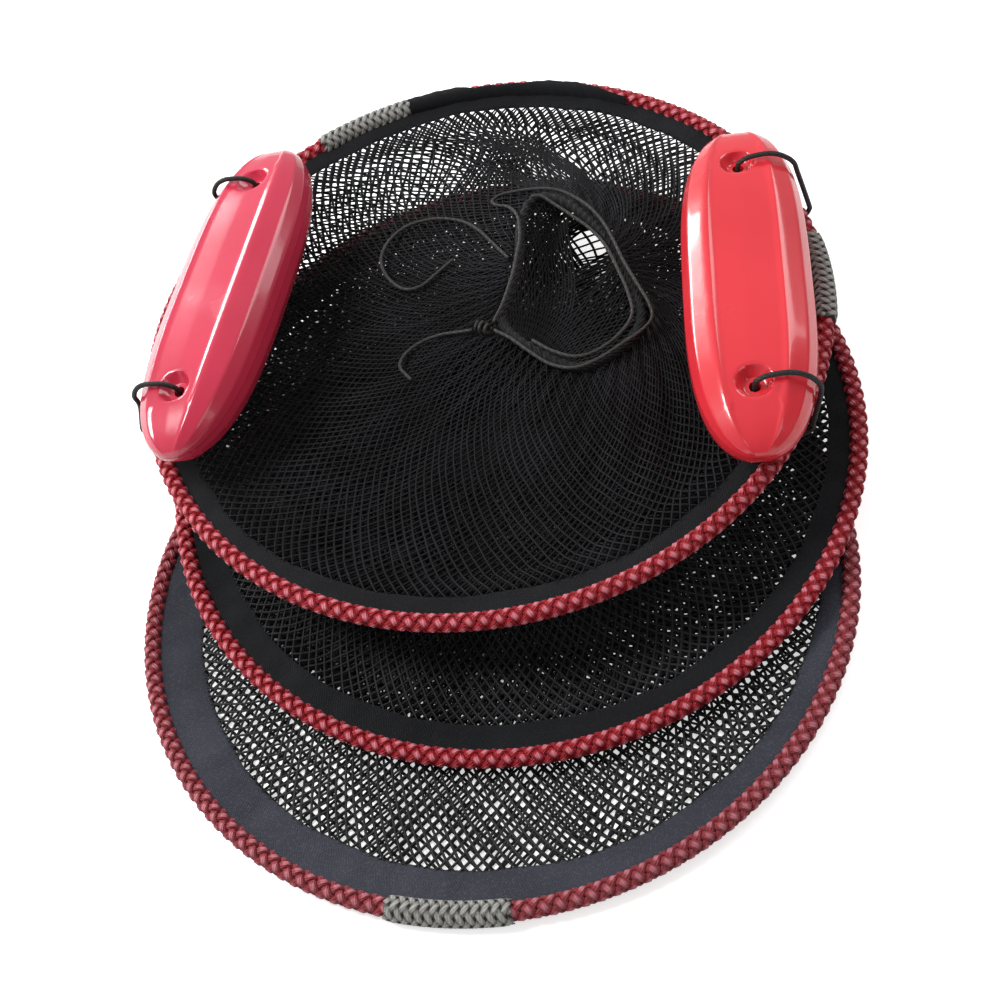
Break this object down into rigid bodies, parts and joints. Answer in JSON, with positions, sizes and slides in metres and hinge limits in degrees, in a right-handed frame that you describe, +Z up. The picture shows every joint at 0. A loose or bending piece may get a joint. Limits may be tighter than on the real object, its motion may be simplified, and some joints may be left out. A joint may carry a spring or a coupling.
{
  "type": "floating fish basket",
  "caption": "Collapsible floating keep basket, folded: rope-covered wire hoops joined by black netting, a drawn mouth with a loose cord in the top net, and red floats tied to the top hoop.",
  "frame": {"origin": "middle of the bottom hoop, on the ground, where two strands of the bottom net cross", "axes": "+Z up; the folded hoops fan out towards +Y; +X is to the right of someone who faces +Y"},
  "size_m": [0.371, 0.482, 0.1098],
  "materials": {
    "rope": "braided rope, red with pale flecks",
    "splice": "pale braided cover with dark flecks",
    "wire": "drawn spring wire",
    "ferrule": "crimped tube",
    "hem": "charcoal binding cloth",
    "net": "black knotless netting",
    "float": "glossy blow-moulded red plastic",
    "tie": "black braided cord",
    "cord": "thin dark grey monofilament-like cord"
  },
  "bodies": {
    "base_hoop": {"base_hoop_wire": "wire", "base_hoop_rope": "rope", "base_hoop_ferrule": "ferrule", "base_hoop_splice": "splice", "base_hem": "hem", "base_net": "net", "lower_net": "net"},
    "middle_hoop": {"middle_hoop_wire": "wire", "middle_hoop_rope": "rope", "middle_hoop_ferrule": "ferrule", "middle_hoop_splice": "splice", "middle_hem": "hem", "upper_net": "net"},
    "top_hoop": {"top_hoop_wire_1": "wire", "top_hoop_wire_2": "wire", "top_hoop_rope_1": "rope", "top_hoop_rope_2": "rope", "top_hoop_ferrule_1": "ferrule", "top_hoop_ferrule_2": "ferrule", "top_hoop_splice_1": "splice", "top_hoop_splice_2": "splice", "top_hem": "hem", "top_net": "net", "mouth_rim": "net", "draw_cord_loop": "cord", "draw_cord_strand": "cord", "draw_cord_tail_rear": "cord", "draw_cord_tail_front": "cord", "draw_cord_knot": "cord"},
    "left_float": {"float_left_top_shell": "float", "float_left_bottom_shell": "float", "float_left_rear_tie": "tie", "float_left_front_tie": "tie"},
    "right_float": {"float_right_top_shell": "float", "float_right_bottom_shell": "float", "float_right_rear_tie": "tie", "float_right_front_tie": "tie"}
  },
  "joints": [
    {"name": "middle_hoop_slide", "type": "slide", "parent": "base_hoop", "child": "middle_hoop", "axis": [-0.0471, -0.3041, 0.9515], "range_m": [0, 0.233], "deforming": ["lower_net"]},
    {"name": "top_hoop_slide", "type": "slide", "parent": "middle_hoop", "child": "top_hoop", "axis": [0.0523, -0.2377, 0.9699], "range_m": [0, 0.21], "deforming": ["upper_net"]},
    {"name": "float_left_hinge", "type": "hinge", "parent": "top_hoop", "child": "left_float", "pos_m": [-0.161, 0.1423, 0.06642], "axis": [-0.1822, -0.9819, -0.0515], "range_deg": [0, 90], "deforming": ["float_left_rear_tie", "float_left_front_tie"]},
    {"name": "float_right_hinge", "type": "hinge", "parent": "top_hoop", "child": "right_float", "pos_m": [0.17097, 0.10842, 0.06465], "axis": [0.0087, 0.9986, 0.0523], "range_deg": [0, 90], "deforming": ["float_right_rear_tie", "float_right_front_tie"]}
  ]
}
